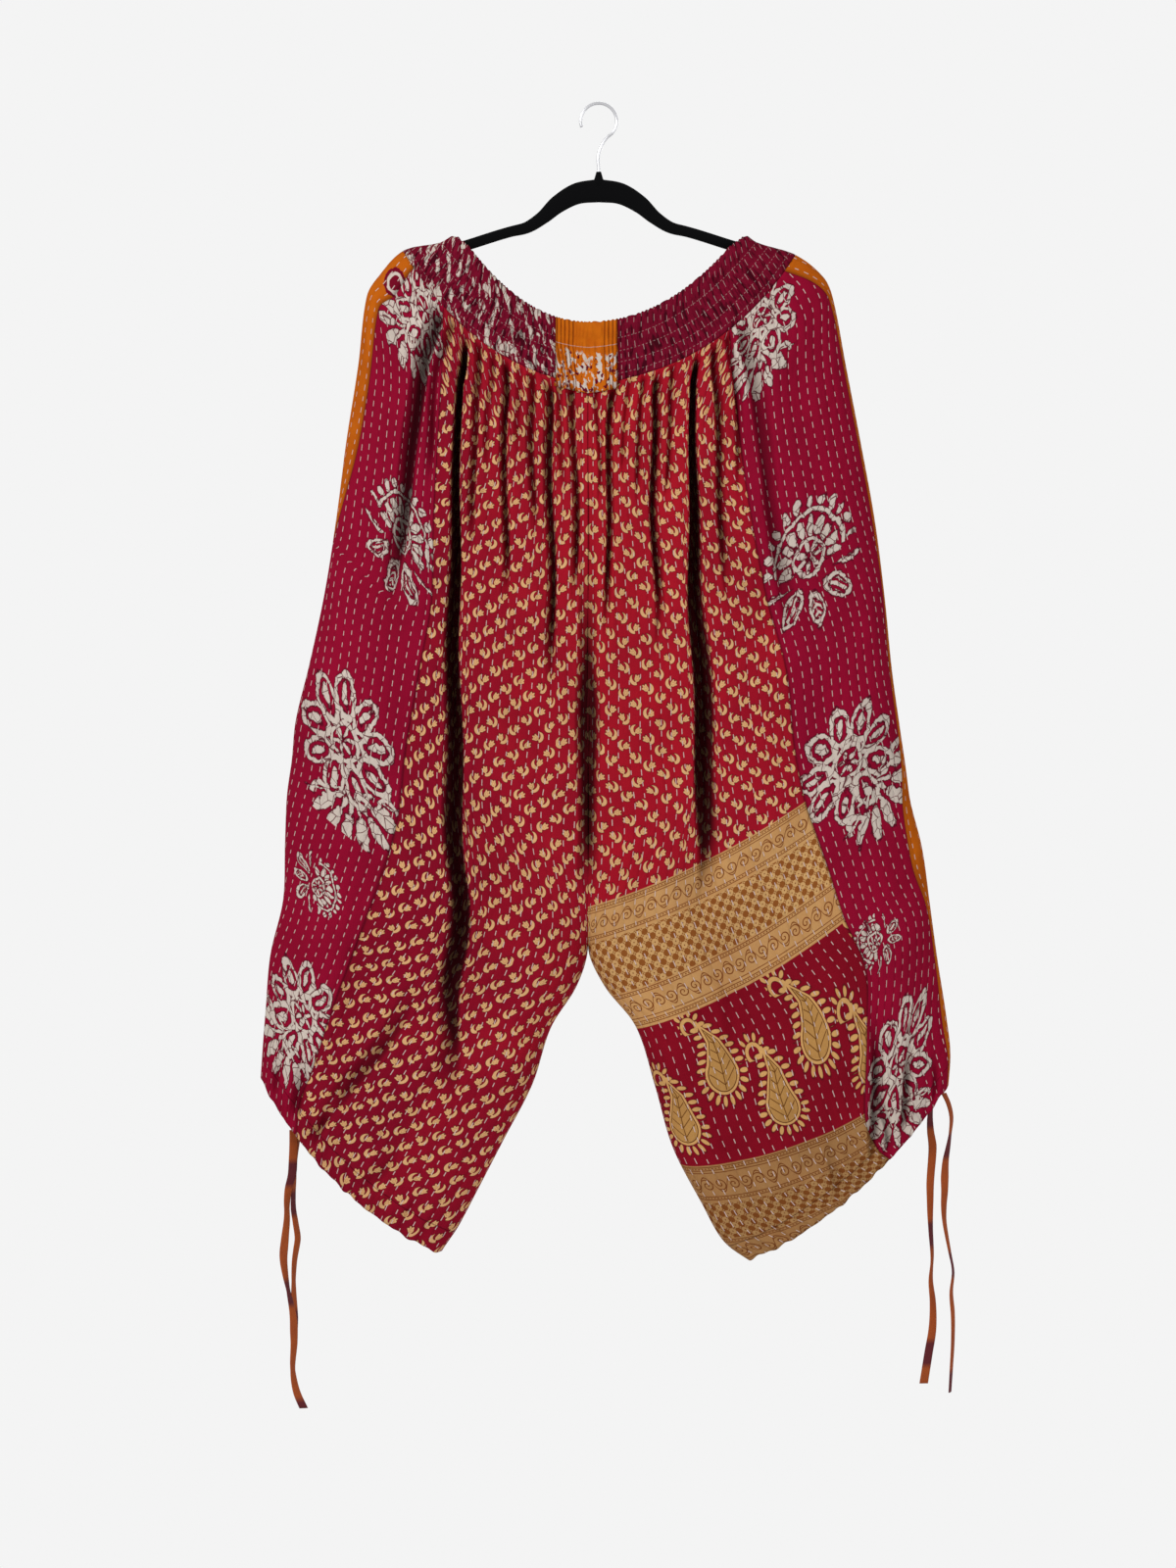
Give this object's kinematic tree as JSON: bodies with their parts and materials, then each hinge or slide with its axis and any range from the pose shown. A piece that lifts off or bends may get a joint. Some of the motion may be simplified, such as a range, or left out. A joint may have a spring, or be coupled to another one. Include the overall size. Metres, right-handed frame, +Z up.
{
  "type": "capri joggers on a clothes hanger",
  "caption": "Gathered low-crotch capri joggers of patchwork cotton with drawstring cuffs, hanging by the elastic waist from a slim flocked clothes hanger.",
  "frame": {"origin": "where a rail carries the hook of the hanger, on the inside of the hook's top", "axes": "+X to the viewer's right, +Y from front to back, +Z up"},
  "size_m": [0.7149, 0.0766, 1.3417],
  "materials": {
    "red_floral_cotton": "quilted cotton printed with small gold tulips, with a tan border and paisleys on one leg",
    "magenta_batik_cotton": "quilted cotton with cream batik flowers",
    "orange_cotton": "plain orange cotton",
    "magenta_band_cotton": "shirred cotton band",
    "black_flock": "velvet flock over plastic",
    "bright_steel": "bright plated wire"
  },
  "bodies": {
    "root": {"hanger_body": "black_flock", "hanger_hook": "bright_steel", "waistband_front_left": "magenta_band_cotton", "waistband_front_patch": "orange_cotton", "waistband_front_right": "magenta_band_cotton", "waistband_back": "magenta_band_cotton", "left_front_panel": "red_floral_cotton", "left_side_panel": "magenta_batik_cotton", "left_side_strip": "orange_cotton", "left_back_panel": "magenta_batik_cotton", "right_front_panel": "red_floral_cotton", "right_side_panel": "magenta_batik_cotton", "right_side_strip": "orange_cotton", "right_back_panel": "magenta_batik_cotton", "left_tie_front": "orange_cotton", "left_tie_back": "orange_cotton", "right_tie_inner": "orange_cotton", "right_tie_outer": "orange_cotton"}
  },
  "joints": []
}
